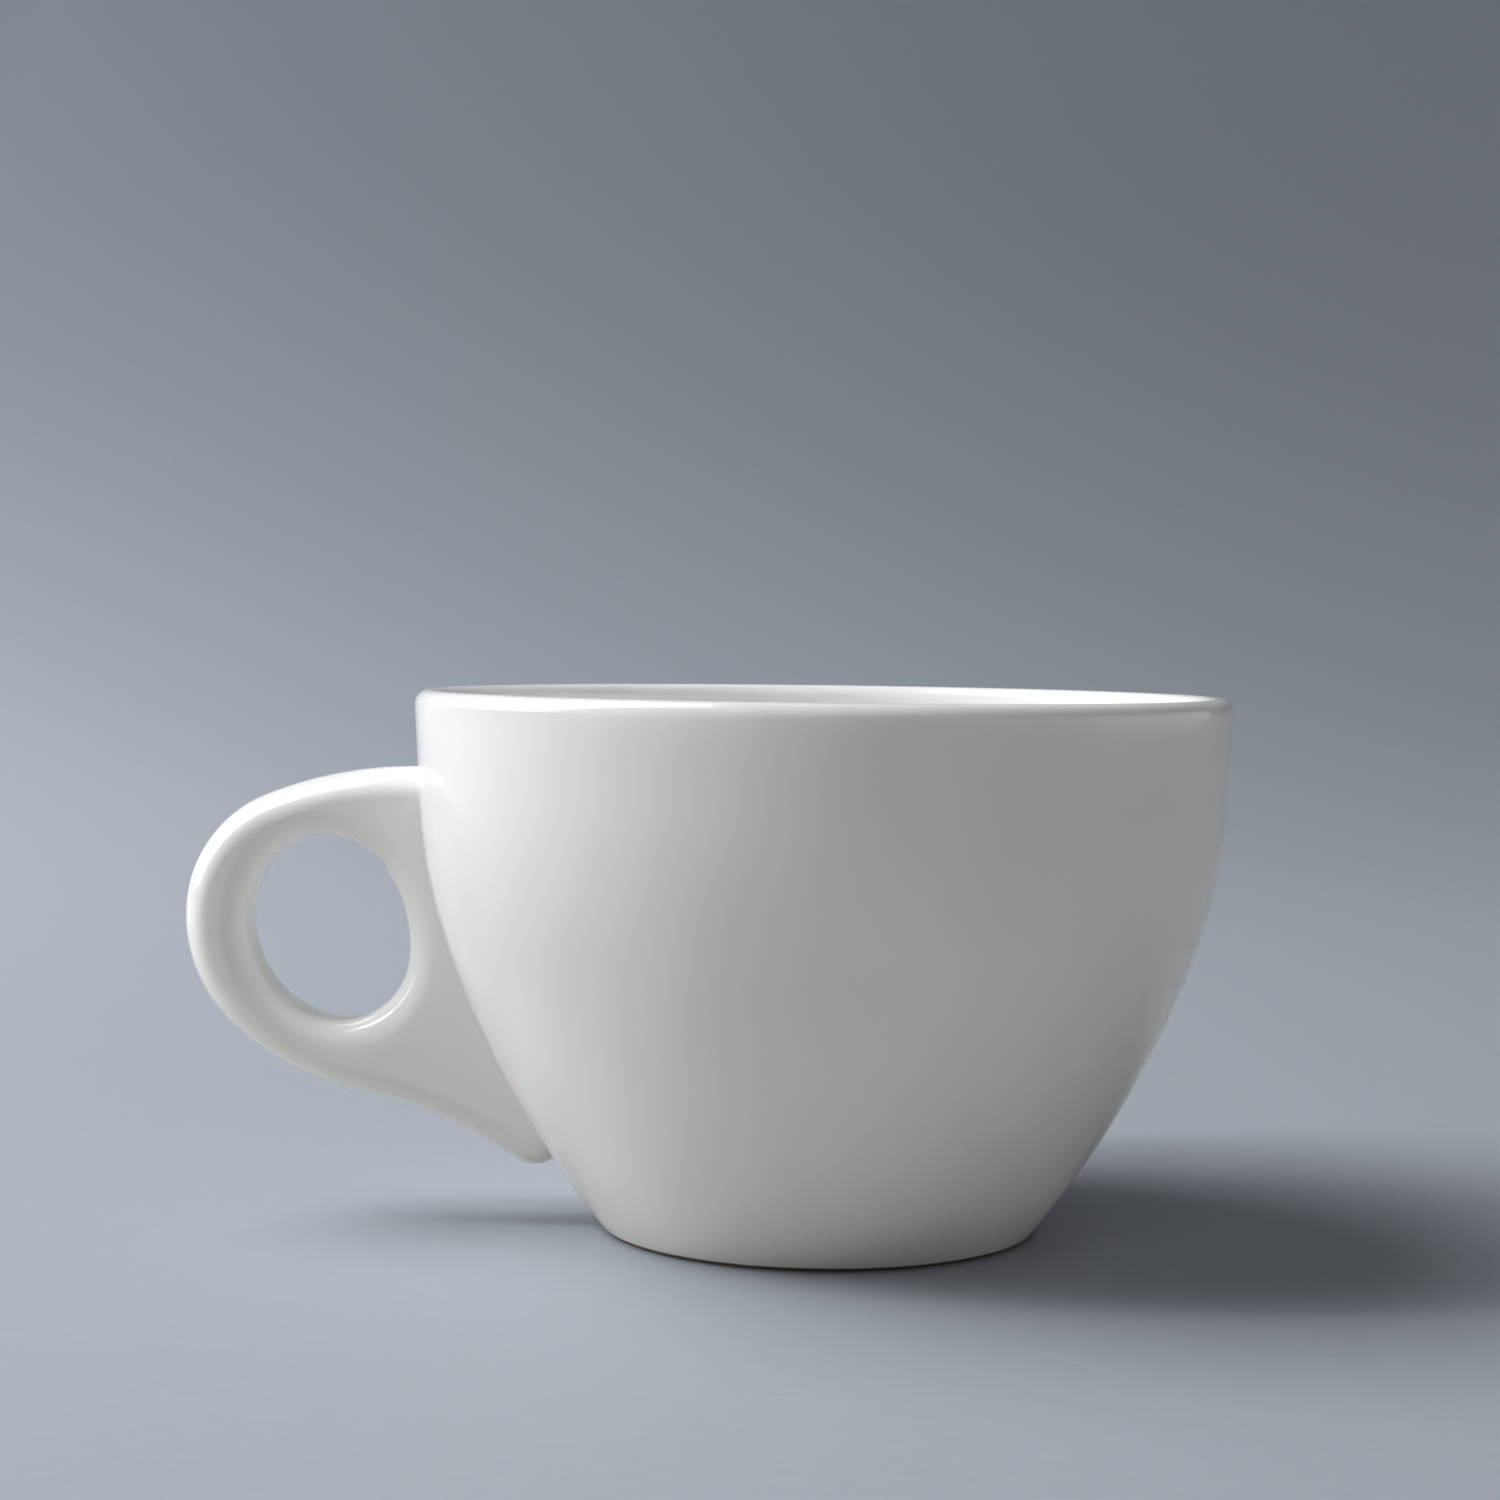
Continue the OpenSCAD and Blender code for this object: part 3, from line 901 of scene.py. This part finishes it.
# %% Colour of the sheet
FLOOR_COLOUR = (0.378, 0.412, 0.466, 1)
FLOOR_BOUNCE = (0.42, 0.415, 0.405, 1)
FLOOR_ROUGHNESS = 0.6
GRAIN_STRETCH = (0.25, 1, 1)
GRAIN_SCALE, GRAIN_SPAN, GRAIN_DEPTH = 900, (0.3, 0.8), (-0.08, 0.18)
SCRATCH_COLOUR = (0.46, 0.49, 0.54, 1)
SCRATCH_SCALE, SCRATCH_SPAN, SCRATCH_DEPTH = 70, (0, 0.012), (0.45, 0)
PATCH_SCALE, PATCH_SPAN = 45, (0.52, 0.7)

stretch = add_node(tree, "ShaderNodeMapping", "grain runs across")
set_inputs(stretch, Scale=GRAIN_STRETCH)
tree.links.new(place, stretch.inputs["Vector"])
across = stretch.outputs["Vector"]
grain_noise = noise(tree, "grain", across, GRAIN_SCALE, 3)
grain = remap(tree, "grain depth", grain_noise, GRAIN_SPAN, GRAIN_DEPTH)
cells = add_node(tree, "ShaderNodeTexVoronoi", "scratches", feature="DISTANCE_TO_EDGE")
set_inputs(cells, Scale=SCRATCH_SCALE)
tree.links.new(across, cells.inputs["Vector"])
lines = remap(tree, "thin lines", cells.outputs["Distance"], SCRATCH_SPAN, SCRATCH_DEPTH)
patches = remap(tree, "few of them", noise(tree, "worn patches", place, PATCH_SCALE, 2), PATCH_SPAN)
marks = calculate(tree, "scratches and grain", "MULTIPLY_ADD", lines, patches, grain)

path = add_node(tree, "ShaderNodeLightPath").outputs
seen = calculate(tree, "seen or mirrored", "ADD", path["Is Camera Ray"], path["Is Glossy Ray"])
seen = calculate(tree, "or seen through", "ADD", seen, path["Is Transmission Ray"])
worn = mix_colours(tree, "worn sheet", marks, FLOOR_COLOUR, SCRATCH_COLOUR)
shown = mix_colours(tree, "sheet colour", seen, FLOOR_BOUNCE, worn)
shown_glow = calculate(tree, "shown glow", "MULTIPLY", glow, seen)
shader = set_inputs(
    tree.nodes["Principled BSDF"], Roughness=FLOOR_ROUGHNESS, Emission_Color=GLOW_COLOUR
)
tree.links.new(shown, shader.inputs["Base Color"])
tree.links.new(shown_glow, shader.inputs["Emission Strength"])
sweep.data.materials.append(sheet)
print("sheet", FLOOR_COLOUR[:3])

# %% [markdown]
# A large soft lamp on the left does most of the work, with a smaller share from above and behind it. A
# narrow strip beside it draws the thin bright line in the finger hole. Weak lamps in front and on the
# right only fill.

# %% Lamps
Lamp = namedtuple("Lamp", "name azimuth elevation width height power")
LAMP_DISTANCE = 1.2
LAMP_AIM = Vector((0, 0, 30 * MM))
LAMPS = (
    Lamp("key", -92, 31, 0.7, 1.1, 10.0),
    Lamp("strip", -80, 46, 0.1, 0.6, 2.2),
    Lamp("key_back", -118, 31, 0.7, 1.1, 1.5),
    Lamp("key_top", -104, 58, 0.9, 0.7, 7.8),
    Lamp("top_front", 0, 60, 1.2, 0.9, 1.15),
    Lamp("front_left", -45, 9, 1.2, 0.45, 1.45),
    Lamp("front_right", 60, 9, 1.2, 0.45, 0.85),
    Lamp("right", 105, 9, 1.2, 0.45, 1.3),
    Lamp("back_top", 170, 55, 1.2, 0.7, 0.37),
)


def hang(lamp):
    """A soft lamp that looks at the cup, its azimuth counted from the camera towards the right."""
    light = bpy.data.lights.new(lamp.name, "AREA")
    light.shape = "RECTANGLE"
    light.size = lamp.width
    light.size_y = lamp.height
    light.energy = lamp.power
    holder = bpy.data.objects.new(lamp.name, light)
    scene.collection.objects.link(holder)
    az, el = math.radians(lamp.azimuth), math.radians(lamp.elevation)
    towards = Vector((math.sin(az) * math.cos(el), -math.cos(az) * math.cos(el), math.sin(el)))
    holder.location = LAMP_DISTANCE * towards + LAMP_AIM
    holder.rotation_euler = towards.to_track_quat("Z", "Y").to_euler()
    holder.visible_camera = False
    print(lamp.name, "at", [round(value, 2) for value in holder.location])


for lamp in LAMPS:
    hang(lamp)
scene.view_settings.view_transform = "Standard"

# %% [markdown]
# Where the sheet ends, the world shows. It could light the cup as well, but light from all round would
# wash the shadows out, so it gives only a trace. Light Path shows the camera alone a paler colour, near
# the sheet's own, so that a view from another side has no black edge.

# %% World
WORLD_SEEN = (0.26, 0.285, 0.325, 1)
WORLD_LIGHT = (0.009, 0.0095, 0.01, 1)

world = bpy.data.worlds.new("world")
scene.world = world
world.use_nodes = True
tree = world.node_tree
path = add_node(tree, "ShaderNodeLightPath").outputs
room = mix_colours(tree, "room", path["Is Camera Ray"], WORLD_LIGHT, WORLD_SEEN)
tree.links.new(room, tree.nodes["Background"].inputs["Color"])
print("world light", WORLD_LIGHT[:3])
